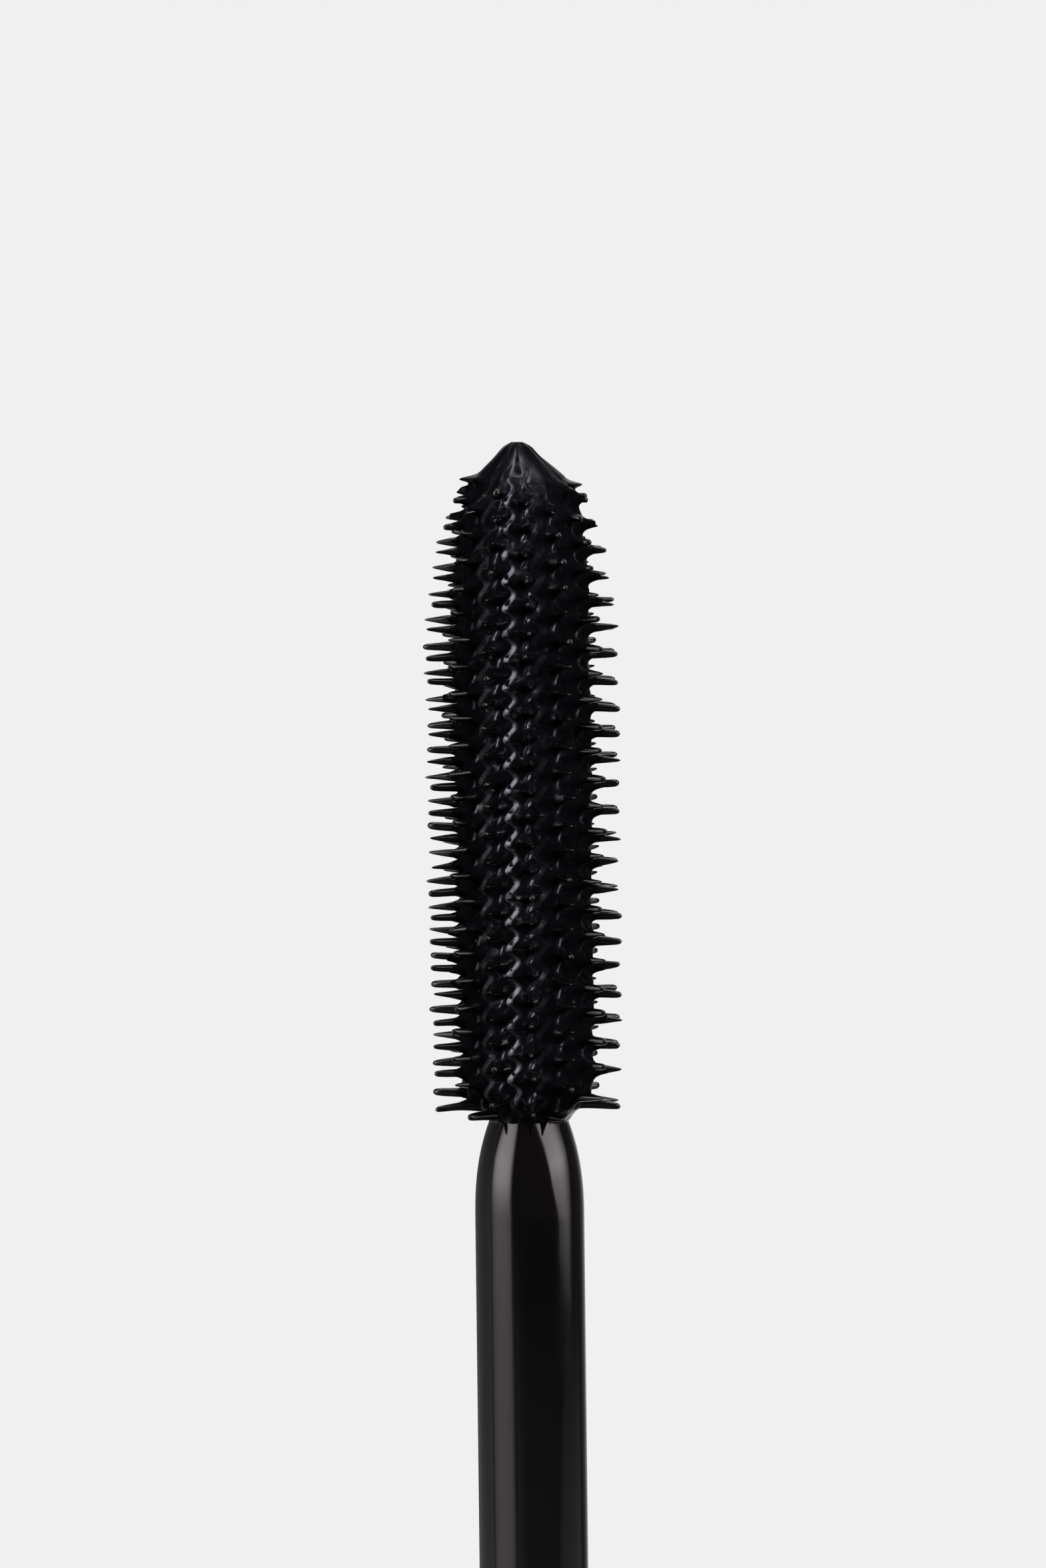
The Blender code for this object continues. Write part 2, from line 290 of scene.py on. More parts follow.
def gloss_black(name, colour, rough, tint=WHITE):
    """Moulded black plastic: mirror-like, with a faint waviness and handling marks."""
    look = Look(name, colour, rough)
    look.set("Specular Tint", (*tint, 1.0))
    marks = look.noise((0.9, 0.9, 0.25), detail=6, rough=0.65)
    look.roughness(marks, 0.35, 0.75, rough * 0.8, rough * 1.5)
    look.bump(look.noise((0.35, 0.35, 0.12), detail=1), 0.004)
    look.bump(look.noise((9, 9, 9), detail=2), 0.0003)
    look.set("IOR", 1.5)
    return look.material


def wet_paste(attribute=None):
    """Wet mascara: blue-black and smooth, with a few fine grains. A mesh attribute can say
    where it is wet (1) and shines, and where it is drawn thin (0) and dull."""
    look = Look("wet_paste", (0.002, 0.002, 0.003), 0.16)
    look.set("Specular Tint", (0.89, 0.85, 1.0, 1.0))
    cloud = look.noise((1.2, 1.2, 1.2), detail=3)
    look.colours(cloud, (0.002, 0.0019, 0.0026), (0.007, 0.0065, 0.009))
    look.bump(look.noise((2.6, 2.6, 2.6), detail=2, distortion=0.8), 0.008)
    look.bump(look.noise((12, 12, 12), detail=2), 0.001)
    uneven = look.noise((2.5, 2.5, 2.5), detail=3)
    if attribute:
        wet = look.node("ShaderNodeAttribute", attribute_name=attribute).outputs["Fac"]
        look.link(look.ramp(wet, 0.05, 0.8, 0.004, 0.8), look.shader.inputs["Specular IOR Level"])
        uneven = look.maths("SUBTRACT", uneven, look.ramp(wet, 0, 1, -0.3, 0.15))
    look.roughness(uneven, 0.3, 0.9, 0.12, 0.38)
    return look.material


def coated_bristle():
    """Brown-black elastomer under a thin skin of paste."""
    look = Look("coated_bristle", (0.003, 0.002, 0.002), 0.2)
    look.set("Specular IOR Level", 0.5)
    look.colours(look.noise((2, 2, 2), detail=4), (0.0015, 0.0012, 0.0014), (0.006, 0.0035, 0.003))
    look.roughness(look.noise((4, 4, 4), detail=3), 0.3, 0.7, 0.08, 0.16)
    look.bump(look.noise((3, 3, 3), detail=2), 0.003)
    return look.material


def natural_plastic(name, colour, rough, smear=None):
    """Milky unpigmented plastic. smear is the (height, reach) of black paste left near a rim:
    the paste covers what is below that height, give or take the reach."""
    look = Look(name, colour, rough)
    if smear:
        height, reach = smear
        ragged = look.ramp(look.noise((0.8, 0.8, 0.5), detail=5), 0.3, 0.7, -reach, reach)
        edge = look.maths("ADD", look.height(), ragged)
        black = look.ramp(edge, height - SMEAR_EDGE, height + SMEAR_EDGE, 1, 0)
        look.colours(black, colour, SMEAR)
    else:
        cloud = look.noise((0.25, 0.25, 0.25), detail=4)
        look.colours(cloud, [0.92 * c for c in colour], [min(1.0, 1.04 * c) for c in colour])
    look.roughness(look.noise((2, 2, 2), detail=5), 0.3, 0.7, rough * 0.8, rough * 1.3)
    look.bump(look.noise((6, 6, 6), detail=3), 0.003)
    look.set("Subsurface Weight", 0.15)
    look.set("Subsurface Scale", 0.001)
    return look.material


def metallised(name, colour, rough, spun=False):
    """Bright metal with fine turning lines, round the axis or across a flat end."""
    look = Look(name, colour, rough, 1.0)
    if spun:
        lines = look.node("ShaderNodeTexNoise", noise_dimensions="1D")
        lines.inputs["Scale"].default_value = 14.0
        lines.inputs["Detail"].default_value = 4.0
        look.link(look.radial(), lines.inputs["W"])
        grain = lines.outputs["Fac"]
    else:
        grain = look.noise((0.15, 0.15, 30), detail=4)
    look.roughness(grain, 0.3, 0.7, rough * 0.7, rough * 1.5)
    look.bump(grain, 0.0015)
    look.colours(look.noise((0.4, 0.4, 0.4), detail=4), [0.93 * c for c in colour], colour)
    return look.material


def foam():
    """White foam with small closed cells."""
    look = Look("seal_foam", (0.82, 0.82, 0.79), 0.75)
    look.bump(look.cells((5, 5, 5)), 0.03)
    look.colours(look.cells((4, 4, 4)), (0.7, 0.7, 0.67), (0.86, 0.86, 0.83))
    return look.material


def paper():
    """Matt white label paper with a faint grain."""
    look = Look("label_paper", (0.82, 0.82, 0.8), 0.6)
    look.colours(look.noise((3, 3, 3), detail=6), (0.76, 0.76, 0.74), (0.86, 0.86, 0.84))
    look.bump(look.noise((8, 3, 8), detail=5), 0.004)
    return look.material


def turned_steel():
    """Plain steel with coarse turning marks."""
    look = Look("turned_steel", (0.45, 0.45, 0.46), 0.4, 1.0)
    grain = look.noise((0.2, 0.2, 12), detail=4)
    look.roughness(grain, 0.3, 0.7, 0.28, 0.5)
    look.bump(grain, 0.004)
    return look.material


def dress(piece, material, body, node):
    """Gives a piece its material, puts it on its body, and lets it stand for a CAD node."""
    piece.data.materials.clear()
    piece.data.materials.append(material)
    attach(piece, body)
    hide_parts(node)


# ---------------------------------------------------------------- the closure's thread

LEAD = 2.4
RIDGE_FOOT, RIDGE_CREST, RIDGE_HEIGHT = 1.0, 0.5, 0.7
# The share of a turn in which a ridge runs out at its ends
RUN_OUT = 0.06
# How close to a wall's radius a point on the wall is
ON_WALL = 0.02
# How far apart the rings of points are on a threaded wall
FINE = 0.12


def thread(start, turns, phase, inward, wall, reach):
    """How much a right-hand ridge adds to a wall's radius. reach is the span of heights that
    the threaded wall covers, wall its radius."""

    def swell(angle, height, radius):
        added = np.zeros(np.broadcast(angle, height).shape)
        for turn in range(math.ceil(turns) + 1):
            along = (np.mod(angle - phase, TAU) / TAU + turn) * np.ones_like(added)
            gap = np.abs(height - start - LEAD * along)
            shape = np.clip((RIDGE_FOOT / 2 - gap) / (RIDGE_FOOT - RIDGE_CREST) * 2, 0, 1)
            fade = np.clip(np.minimum(along, turns - along) / RUN_OUT, 0, 1)
            added = np.maximum(added, shape * shape * (3 - 2 * shape) * fade)
        here = (np.abs(radius - wall) < ON_WALL) & (height > reach[0]) & (height < reach[1])
        return added * here * RIDGE_HEIGHT * (-1 if inward else 1)

    return swell


# ---------------------------------------------------------------- wand: cap

CAP_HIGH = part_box("cap_shell")[1] / MM
CAP_R = CAP_HIGH.x
CAP_LENGTH = CAP_HIGH.z
CAP_BORE_R, CAP_FLOOR = 7.4, 2.6
# Just under the open end the bore widens to a lead-in
LEAD_IN_LOW, LEAD_IN_HIGH, LEAD_IN_R = 44.3, 45.0, 7.55
SEAT_R, SEAT_DEPTH = 6.5, 0.6
DISC_R, DISC_LOW, DISC_HIGH = 6.4, 0.1, 0.5
SLUG_R, SLUG_LOW, SLUG_HIGH = 7.3, 2.7, 14.7
LINER_R, LINER_SKIRT_R, LINER_LOW, LINER_HIGH = 7.3, 6.4, 15.0, 44.2
SOCKET_R, SOCKET_FLOOR, SOCKET_BACK = 6.65, 31.0, 28.0
SOCKET_THREAD_LOW, SOCKET_TURNS = 34.4, 1.5
HUB_R, HUB_BORE_R, HUB_LOW = 4.6, 2.65, 18.0
WASHER_R, WASHER_BORE_R, WASHER_LOW, WASHER_HIGH = 6.4, 2.8, 31.1, 31.9


def build_cap_shell():
    """The glossy cap: a deep bore from above, and a shallow seat for the disc from below."""
    outline = (
        (0, CAP_FLOOR),
        (CAP_BORE_R, CAP_FLOOR, 0.3),
        (CAP_BORE_R, LEAD_IN_LOW, 0.05),
        (LEAD_IN_R, LEAD_IN_HIGH, 0.1),
        (CAP_R, CAP_LENGTH, 0.12),
        (CAP_R, 0, 0.9),
        (SEAT_R, 0, 0.1),
        (SEAT_R, SEAT_DEPTH, 0.05),
        (0, SEAT_DEPTH),
    )
    look = gloss_black("cap_gloss", BLACK_GLOSS, 0.1)
    dress(turned("cap_outer", eased(outline, steps=8), 160), look, "wand", "cap_shell")


def build_cap_disc():
    outline = ((0, DISC_LOW), (DISC_R, DISC_LOW), (DISC_R, DISC_HIGH), (0, DISC_HIGH))
    look = metallised("spun_disc", (0.62, 0.62, 0.64), 0.26, spun=True)
    dress(turned("cap_disc", eased(outline, 0.08)), look, "wand", "cap_end_disc")


def build_cap_slug():
    outline = ((0, SLUG_LOW), (SLUG_R, SLUG_LOW, 0.4), (SLUG_R, SLUG_HIGH, 0.4), (0, SLUG_HIGH))
    slug = turned("cap_slug", eased(outline, steps=5))
    dress(slug, turned_steel(), "wand", "cap_weight")


def build_cap_liner():
    """The inner moulding: a threaded socket above, and the hub that holds the stem below."""
    mouth, foot = (SOCKET_R, LINER_HIGH), (SOCKET_R, SOCKET_FLOOR)
    outline = [(LINER_R, LINER_LOW), (LINER_R, LINER_HIGH)]
    outline += [mouth, *dense(mouth, foot, FINE), foot]
    outline += [(HUB_BORE_R, SOCKET_FLOOR), (HUB_BORE_R, HUB_LOW), (HUB_R, HUB_LOW)]
    outline += [(HUB_R, SOCKET_BACK), (LINER_SKIRT_R, SOCKET_BACK), (LINER_SKIRT_R, LINER_LOW)]
    reach = (SOCKET_FLOOR + 0.5, LINER_HIGH - 0.2)
    swell = thread(SOCKET_THREAD_LOW, SOCKET_TURNS, 0.0, True, SOCKET_R, reach)
    piece = turned("cap_liner", eased(outline, 0.06, 3, loop=True), 128, swell)
    dress(piece, natural_plastic("liner_plastic", (0.78, 0.78, 0.76), 0.4), "wand", "cap_insert")


def build_washer():
    outline = [(WASHER_BORE_R, WASHER_LOW), (WASHER_R, WASHER_LOW)]
    outline += [(WASHER_R, WASHER_HIGH), (WASHER_BORE_R, WASHER_HIGH)]
    washer = turned("seal_washer", eased(outline, 0.2, loop=True))
    dress(washer, foam(), "wand", "seal_ring")


# ---------------------------------------------------------------- wand: stem

STEM_LOW, STEM_HIGH = ((corner / MM).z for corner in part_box("stem"))
STEM_R, STEM_FOOT_R, STEM_FOOT_HIGH = 2.2, 2.6, 30.9
SHOULDER_LOW, SHOULDER_DROP, SHOULDER_POWER = 77.0, 0.65, 2.4
PIN_HOLE_R, PIN_HOLE_LOW = 1.0, 72.5


def stem_radius(height):
    """The stem's radius above its foot, with the ogive shoulder under the brush."""
    share = np.clip((height - SHOULDER_LOW) / (STEM_HIGH - SHOULDER_LOW), 0, 1)
    return STEM_R - SHOULDER_DROP * share**SHOULDER_POWER


def build_stem():
    """The glossy rod, with a thicker foot in the hub and a hole in its top for a pin."""
    foot = ((0, STEM_LOW), (STEM_FOOT_R, STEM_LOW), (STEM_FOOT_R, STEM_FOOT_HIGH))
    foot = eased((*foot, (STEM_R, STEM_FOOT_HIGH), (STEM_R, 60)), 0.15)
    straight, shoulder = np.linspace(61, 76, 8), np.linspace(76.5, STEM_HIGH, 60)
    heights = np.concatenate([straight, shoulder])
    side = np.stack([stem_radius(heights), heights], -1)
    hole = ((PIN_HOLE_R, STEM_HIGH), (PIN_HOLE_R, PIN_HOLE_LOW), (0, PIN_HOLE_LOW))
    top = eased((side[-2], side[-1], *hole), 0.05)
    outline = np.concatenate([foot, side[:-2], top])
    look = gloss_black("stem_gloss", (0.0018, 0.0016, 0.0019), 0.08, (1.0, 0.89, 0.93))
    dress(turned("stem_rod", outline, 128), look, "wand", "stem")


# ---------------------------------------------------------------- wand: brush

ROWS, LEVELS, THIRDS, BACK_OFFSET = 14, 24, 3, 9
PITCH = 1.04
FIELD_LOW, LOWEST_DROP = 81.34, 0.24
FIRST_ROW = math.radians(170.2)
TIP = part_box("brush_head")[1].z / MM
CORE_R, CORE_LOW, CORE_HIGH = 1.35, 81.05, 106.2
CORE_END = ((1.15, 106.6), (0.75, 106.9), (0.4, 107.15), (0, 107.2))
PIN_R, PIN_LOW = 0.95, 73.0
# Height of a bristle, and how far it reaches from the axis
REACH = (
    (81.4, 3.15),
    (81.55, 3.8),
    (82.4, 3.82),
    (85.2, 3.9),
    (100.9, 3.93),
    (102.0, 3.72),
    (103.9, 3.42),
    (105.2, 3.0),
    (106.0, 2.7),
    (106.3, 2.5),
)
BRISTLE_SIDES = 12
# Share of a bristle's length, and its radius there
TAPER = (
    (0.0, 0.3),
    (0.3, 0.26),
    (0.45, 0.225),
    (0.56, 0.2),
    (0.66, 0.175),
    (0.75, 0.155),
    (0.83, 0.14),
    (0.89, 0.125),
    (0.94, 0.112),
    (0.975, 0.085),
    (0.993, 0.045),
)
STATIONS, THICKNESS = np.array(TAPER).T
BEND, SWAY = 0.22, 0.2
# The highest and the lowest bristles droop a little more than the others
HIGH_FROM, HIGH_DROOP = 105.0, 0.1
LOW_TO, LOW_DROOP = 82.1, 0.06


def row_start(row):
    """The height of a row's lowest bristle. Neighbouring rows are staggered by a third of the
    pitch, apart from rows 7 and 8, which are level."""
    stagger = row % THIRDS if row <= ROWS // 2 else (BACK_OFFSET - row) % THIRDS
    return FIELD_LOW + PITCH / THIRDS * ((THIRDS - 1 - stagger) % THIRDS + 0.5)


def bristles():
    """(angle, height, reach, chances) of every bristle, chances being numbers from 0 to 1."""
    source = random.Random(11)
    for row in range(ROWS):
        for level in range(LEVELS):
            height = row_start(row) + PITCH * level - (0 if level else LOWEST_DROP)
            angle = FIRST_ROW + TAU * row / ROWS + source.uniform(-0.02, 0.02)
            reach = np.interp(height, *zip(*REACH)) * source.uniform(0.965, 1.0)
            reach *= 1.014 - 0.022 * math.cos(angle)
            yield angle, height, reach, [source.random() for _ in range(8)]


def bristle(angle, height, reach, chances):
    """The points of one bristle and its tip: tapered, unevenly coated and slightly bent."""
    bend, lean, kind, blob, wave, _, _, depth = chances
    out = np.array((math.cos(angle), math.sin(angle), 0))
    side = np.array((-out[1], out[0], 0))
    up = np.array((0, 0, 1))
    droop = (bend - 0.5) * BEND
    sway = (lean - 0.5) * SWAY
    if height > HIGH_FROM:
        droop -= HIGH_DROOP
    if height < LOW_TO:
        droop -= LOW_DROOP
    near_tip = np.clip((STATIONS - 0.7) / 0.3, 0, 1)
    shape = 1 - 0.55 * near_tip if kind < 0.45 else 0.95 + 0.25 * blob * near_tip
    thick = THICKNESS * shape * (1 + 0.1 * np.sin(7 * STATIONS + 9 * wave))
    start = CORE_R - 0.1
    centres = np.outer(start + (reach - start) * STATIONS, out)
    centres += np.outer(height + droop * STATIONS**2.2, up) + np.outer(sway * STATIONS**2, side)
    turn = TAU * np.arange(BRISTLE_SIDES) / BRISTLE_SIDES
    ring = np.cos(turn)[:, None] * side + np.sin(turn)[:, None] * (1.0 + 0.12 * depth) * up
    points = centres[:, None, :] + thick[:, None, None] * ring[None, :, :]
    return points.reshape(-1, 3), out * reach + up * (height + droop) + side * sway


def build_bristles():
    points, quads, triangles = [], [], []
    rings = len(STATIONS)
    each = rings * BRISTLE_SIDES
    for number, (angle, height, reach, chances) in enumerate(bristles()):
        skin, tip = bristle(angle, height, reach, chances)
        first = number * (each + 2)
        points += [skin, [tip, skin[:BRISTLE_SIDES].mean(axis=0)]]
        quads.append(ring_quads(rings, BRISTLE_SIDES, first))
        triangles.append(fan(first + each - BRISTLE_SIDES, BRISTLE_SIDES, first + each))
        triangles.append(fan(first, BRISTLE_SIDES, first + each + 1)[:, ::-1])
    parts = (np.concatenate(part) for part in (points, quads, triangles))
    dress(solid_mesh("brush_bristles", *parts), coated_bristle(), "wand", "brush_head")


def build_core():
    """The core that the bristles stand on, with its pin below and a rounded end above."""
    outline = ((0, PIN_LOW), (PIN_R, PIN_LOW), (PIN_R, CORE_LOW), (CORE_R, CORE_LOW))
    outline += ((CORE_R, CORE_HIGH), *CORE_END)
    piece = turned("brush_core", eased(outline, 0.1), 64)
    dress(piece, coated_bristle(), "wand", "brush_head")


# ---------------------------------------------------------------- wand: paste on the brush

# Distance below the tip, and radius, of the paste between the bristles
PASTE = (
    (0.0, 0.2),
    (0.05, 0.38),
    (0.14, 0.51),
    (0.32, 0.7),
    (0.53, 0.88),
    (0.745, 1.1),
    (0.96, 1.34),
    (1.17, 1.58),
    (1.38, 1.76),
    (1.6, 1.9),
    (1.9, 2.01),
    (2.4, 2.13),
    (3.1, 2.27),
    (4.2, 2.43),
    (6.0, 2.55),
    (25.6, 2.55),
    (26.15, 2.36),
    (26.5, 2.06),
    (26.75, 1.8),
    (27.0, 1.63),
    (27.3, 1.5),
    (27.5, 1.4),
)
# Azimuth in degrees, and how much the paste has run together on that side
RUNNY = (
    (0, 0.3),
    (90, 0.8),
    (150, 0.4),
    (205, 0.28),
    (232, 0.72),
    (250, 1.05),
    (284, 1.05),
    (305, 0.4),
    (360, 0.3),
)
# Share of the way from one bristle of a row to the next, and how strong the fold is there
FOLD_RHYTHM = ((0, 1), (0.16, 1), (0.6, 0.6), (0.8, 0.3), (0.92, 0.5), (1, 1))
# The rows with the strongest folds
STRONG_ROWS = (4, 11)
# Columns crowd together at the rows of bristles, where the skin bends most
PASTE_ROWS, COLUMNS_PER_ROW, CROWDING = 770, 18, 1.3
# The radius at which widths round the brush are taken
RIDGE_R = 2.6
FLANK_SLOPE, FLANK_WIDTH, FOLD_SHIFT, FOLD_SWING = 0.58, 0.2, 0.24, 0.19
FOLD_DROP = 0.16
# The folds begin and end over this span of heights
FOLDS_LOW, FOLDS_HIGH, FOLDS_FADE = 80.9, 106.7, 0.9
NECK_LOW, NECK_HIGH, NECK_FADE = 80.7, 82.2, 0.5
TIP_LEAN, LEAN_DEPTH = 0.17, 2.6
DRIP_SIDE = math.radians(273)
FRONT_RIB = math.radians(267)
WING_SIZE, WING_DEPTH, WING_TILT, WING_WIDTH = 0.52, 1.57, 0.13, 0.13
RIBS_FROM, RIB_WIDTH = 105.2, 0.16
STREAK_LIFT, BEAD_LIFT = 0.085, 0.06
THINNEST = 0.12


def hill(distance, width):
    """1 where distance is 0, and close to 0 from two widths away."""
    return np.exp(-((distance / width) ** 2))


def lumps(points, size, seed):
    """Smooth random values between -1 and 1 at points, with lumps about size mm across."""
    table = np.random.default_rng(seed).uniform(-1, 1, (32, 32, 32))
    place = points / size
    cell = np.floor(place).astype(int)
    part = place - cell
    part = part * part * (3 - 2 * part)
    total = 0.0
    for corner in np.ndindex(2, 2, 2):
        weight = np.where(corner, part, 1 - part).prod(axis=-1)
        i, j, k = np.moveaxis((cell + corner) % 32, -1, 0)
        total = total + weight * table[i, j, k]
    return total


def paste_grid():
    """The heights and angles of the points of the paste's skin."""
    heights = np.linspace(TIP - PASTE[-1][0], TIP, PASTE_ROWS)
    share = np.linspace(-1, 1, COLUMNS_PER_ROW, endpoint=False)
    share = np.sign(share) * np.abs(share) ** CROWDING / 2
    return heights, FIRST_ROW + TAU / ROWS * (np.arange(ROWS)[:, None] + share[None, :]).ravel()


def paste_radius(below):
    """The softened PASTE outline at distances below the tip."""
    outline = np.pad(np.interp(below, *zip(*PASTE)), 6, "reflect", reflect_type="odd")
    soft = np.hanning(15)[1:-1]
    return np.convolve(outline, soft / soft.sum(), "valid")


def grooves(angles, heights):
    """The long folds of paste along the rows of bristles, and how wet they are. A fold rises
    steeply from a winding groove on its left side, and falls slowly to the next one."""
    step = TAU / ROWS
    source = random.Random(7)
    rise = np.zeros((len(heights), len(angles)))
    shine = np.zeros_like(rise)
    phases = [np.mod((heights - row_start(row)) / PITCH + FOLD_DROP, 1) for row in range(ROWS)]
    winding = [
        -FOLD_SWING * np.cos(TAU * np.interp(phase, (0, 0.62, 1), (0, 0.5, 1))) for phase in phases
    ]
    for row, phase in enumerate(phases):
        away = min(abs(row - strong) for strong in STRONG_ROWS)
        strength = max(1 - 0.45 * away, source.uniform(0.25, 0.4))
        groove = FIRST_ROW + step * (row - 0.5) - FOLD_SHIFT / RIDGE_R
        right = (np.mod(angles - groove + step, TAU) - step) * RIDGE_R
        after = right[None, :] - winding[row][:, None]
        before = step * RIDGE_R + winding[(row + 1) % ROWS][:, None] - right[None, :]
        inside = (after >= 0) & (before > 0)
        along = np.interp(phase, *zip(*FOLD_RHYTHM))[:, None]
        slope = FLANK_SLOPE * (0.3 + 0.7 * along * strength**0.5)
        flank = slope * FLANK_WIDTH * np.tanh(after / FLANK_WIDTH)
        rise += inside * flank * (1 - np.exp(-before / 0.25))
        shine += inside * strength * along * np.exp(-(((after - 0.13) / 0.14) ** 4))
    return rise, shine


def meniscus(across, up, lobes, source):
    """The paste drawn up by a bristle, and the wet ring round its foot. lobes turns the three
    lobes of its outline."""
    turn = np.arctan2(up, across)
    gap = np.hypot(across, up) + 0.02 * np.sin(3 * turn + TAU * lobes)
    size = source.uniform(0.42, 0.66)
    drawn = size * np.exp(-np.maximum(gap - 0.12, 0) / source.uniform(0.08, 0.13))
    facing = 0.5 + 0.5 * np.cos(turn - source.uniform(-1, 1) * math.pi)
    return drawn, facing**2 * source.uniform(0.1, 0.9) * hill(gap - 0.18, 0.08)


def streak(across, up, least, source):
    """A short slanting ridge of paste above a bristle, from 0 to 1."""
    slant = source.uniform(0.35, 0.7)
    side, over = source.uniform(-0.06, 0.1), source.uniform(0.45, 0.57)
    along = (across - side) * math.sin(slant) + (up - over) * math.cos(slant)
    beside = (across - side) * math.cos(slant) - (up - over) * math.sin(slant)
    return hill(along, 0.23) * hill(beside, 0.09) * source.uniform(least, 1)


def bead(across, up, source):
    """A small bead of paste near a bristle, from 0 to 1."""
    side, over = source.uniform(-0.6, 0.6), source.uniform(-0.5, 0.5)
    width = source.uniform(0.05, 0.09)
    return hill(np.hypot(across - side, up - over), width) * source.random() ** 2


def around_bristles(angles, heights, wet):
    """What the bristles add to the paste: the menisci, streaks and beads round each of them,
    and the ribs that the highest ones make in the cone. Their shine goes into wet."""
    menisci = np.zeros_like(wet)
    streaks = np.zeros_like(wet)
    ribs = np.zeros_like(angles)
    source = random.Random(5)
    for angle, height, _, chances in bristles():
        near = np.abs(heights - height) < 1.0
        away = np.mod(angles - angle + math.pi, TAU) - math.pi
        close = np.abs(away) < 0.4
        block = np.ix_(near, close)
        across = away[close][None, :] * RIDGE_R
        up = (heights[near] - height)[:, None]
        drawn, ring = meniscus(across, up, chances[3], source)
        menisci[block] = np.maximum(menisci[block], drawn)
        wet[block] = np.maximum(wet[block], ring)
        least = 0.65 if abs(math.cos(angle - DRIP_SIDE)) > 0.97 else 0.1
        slanting = streak(across, up, least, source)
        streaks[block] += STREAK_LIFT * slanting
        wet[block] = np.maximum(wet[block], np.minimum(1.3 * slanting, 1))
        for _ in range(2):
            blob = bead(across, up, source)
            streaks[block] += BEAD_LIFT * blob
            wet[block] = np.maximum(wet[block], blob)
        if height > RIBS_FROM:
            ribs += source.uniform(0.5, 1.0) * hill(away, RIB_WIDTH)
    return menisci + streaks, ribs


def cone_relief(angles, below, place, ribs):
    """The ribs and creases of the hanging cone, and the wing low on either side of it."""
    cone = np.clip((2.4 - below) / 1.0, 0, 1) * np.clip(below / 1.5, 0, 1)
    creases = cone * (0.12 * (ribs - 0.6) + 0.06 * lumps(place * (1, 1, 0.15), 0.5, 3))
    sides = np.abs(np.cos(angles)) ** 6 * (1 - 0.1 * np.cos(angles))
    wings = hill(below - WING_DEPTH - WING_TILT * np.cos(angles), WING_WIDTH)
    return creases + WING_SIZE * sides * wings


def front_rib(angles, below):
    """The upright rib at the front of the cone, from 0 to 1."""
    away = np.mod(angles - FRONT_RIB, TAU)
    away = np.minimum(away, TAU - away)
    return hill(away, 0.24) * np.clip(below / 0.6, 0, 1) * np.clip(2.2 - below, 0, 1)


def field_wetness(angles, place, wet):
    """How the paste between the bristles shines: along its folds and in fine veins."""
    veins = hill(lumps(place, 0.3, 4), 0.1)
    wet = np.maximum(wet, (0.2 + 0.1 * lumps(place, 0.9, 6)) * veins + 0.07)
    return wet * np.interp(np.degrees(np.mod(angles, TAU)), *zip(*RUNNY))[None, :]


def end_wetness(below, place, front):
    """How the paste shines on the cone, which is striped, and on the neck, which is clotted."""
    stripes = 0.08 + 0.6 * front + 0.28 * lumps(place * (1, 1, 0.2), 0.3, 8)
    clots = 0.22 + 0.9 * np.clip(lumps(place, 0.3, 11), 0, 1)
    return np.clip(np.where(below < 5, stripes, clots), 0, 1)


def paste_skin():
    """The rings of points of the paste, and how wet they are: 1 where the paste has run
    together and shines. It lies in folds along the rows, is drawn up every bristle, hangs from
    the tip in a cone with wings, and gathers on the stem's neck."""
    heights, angles = paste_grid()
    below = (TIP - heights)[:, None]
    shape = (len(heights), len(angles))
    circle = np.stack([RIDGE_R * np.cos(angles), RIDGE_R * np.sin(angles)], -1)
    upright = np.broadcast_to(heights[:, None, None], (*shape, 1))
    place = np.concatenate([np.broadcast_to(circle, (*shape, 2)), upright], axis=-1)
    starting = np.clip((heights - FOLDS_LOW) / FOLDS_FADE, 0, 1)[:, None]
    ending = np.clip((FOLDS_HIGH - heights) / FOLDS_FADE, 0, 1)[:, None]
    field = starting * ending
    folded = starting * np.clip((below - 0.5) / 1.5, 0, 1)
    neck = np.clip(np.minimum(NECK_HIGH - heights, heights - NECK_LOW) / NECK_FADE, 0, 1)[:, None]
    folds, wet = grooves(angles, heights)
    drawn, ribs = around_bristles(angles, heights, wet)
    front = front_rib(angles, below)
    skin = paste_radius(below[:, 0])[:, None] + folds * folded + drawn * field
    skin += 0.06 * lumps(place, 0.9, 1) + 0.012 * lumps(place, 0.35, 2)
    skin += cone_relief(angles, below, place, ribs) + 0.05 * front
    skin += neck * (0.1 * lumps(place, 0.55, 9) + 0.05 * lumps(place, 0.25, 10))
    skin = np.maximum(skin, THINNEST)
    points = np.stack([skin * np.cos(angles), skin * np.sin(angles), place[..., 2]], -1)
    points[..., 0] -= TIP_LEAN * np.clip(1 - below / LEAN_DEPTH, 0, 1)
    wet = field_wetness(angles, place, wet) * folded
    return points, wet + end_wetness(below, place, front) * (1 - field)


def build_paste():
    """The wet paste as a closed skin in two lengths, which meet half way up."""
    points, wet = paste_skin()
    look = wet_paste("wet")
    cut = PASTE_ROWS // 2
    bottom, middle = ((0, 0, points[row, 0, 2]) for row in (0, cut))
    end = (-TIP_LEAN, 0, TIP + 0.02)
    neck = ("brush_paste_neck", slice(0, cut + 1), bottom, middle)
    tip = ("brush_paste_tip", slice(cut, PASTE_ROWS), middle, end)
    for name, rows, low, high in (neck, tip):
        part = points[rows]
        piece = wrapped(name, part, low, high)
        crease(piece, part.shape[0] * part.shape[1], part.shape[1])
        point_values(piece.data, "wet", np.append(wet[rows], (1.0, 1.0)))
        dress(piece, look, "wand", "brush_head")


# ---------------------------------------------------------------- tube

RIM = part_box("wiper")[0].z / MM - 0.05
